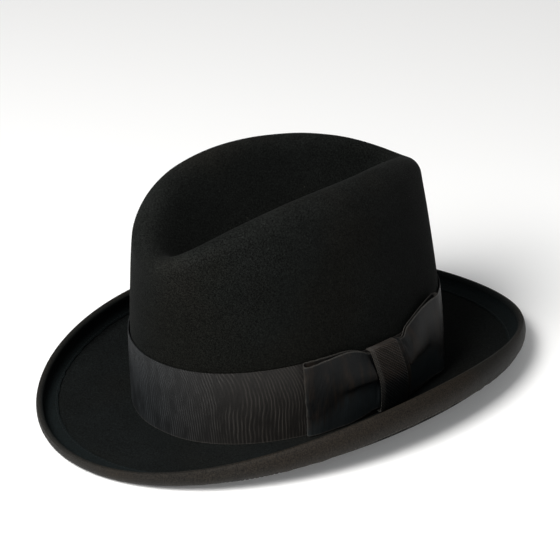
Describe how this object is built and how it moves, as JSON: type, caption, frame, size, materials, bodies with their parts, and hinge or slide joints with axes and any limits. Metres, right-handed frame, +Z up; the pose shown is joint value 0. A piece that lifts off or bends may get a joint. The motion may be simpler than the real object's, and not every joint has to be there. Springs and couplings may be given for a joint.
{
  "type": "homburg hat",
  "caption": "Stiff felt homburg hat with a long centre dent, a bound brim curled up all round, a ribbon band and a flat bow at one side.",
  "frame": {"origin": "middle of the hat's outline in plan, on the surface that the hat rests on", "axes": "+X towards the wearer's left, where the bow is, +Y towards the back of the head, +Z up"},
  "size_m": [0.2566, 0.337, 0.1435],
  "materials": {
    "felt": "matte stiff fur felt, near black",
    "band_ribbon": "ribbed grosgrain ribbon with a faint watered sheen, dark grey",
    "bow_ribbon": "ribbed grosgrain ribbon, charcoal",
    "binding_ribbon": "grosgrain binding folded over the edge, brownish grey"
  },
  "bodies": {
    "root": {"felt_body": "felt", "brim_binding": "binding_ribbon", "hat_band": "band_ribbon", "bow_front_loop": "bow_ribbon", "bow_rear_loop": "bow_ribbon", "bow_underwrap": "bow_ribbon", "bow_knot": "bow_ribbon"}
  },
  "joints": []
}
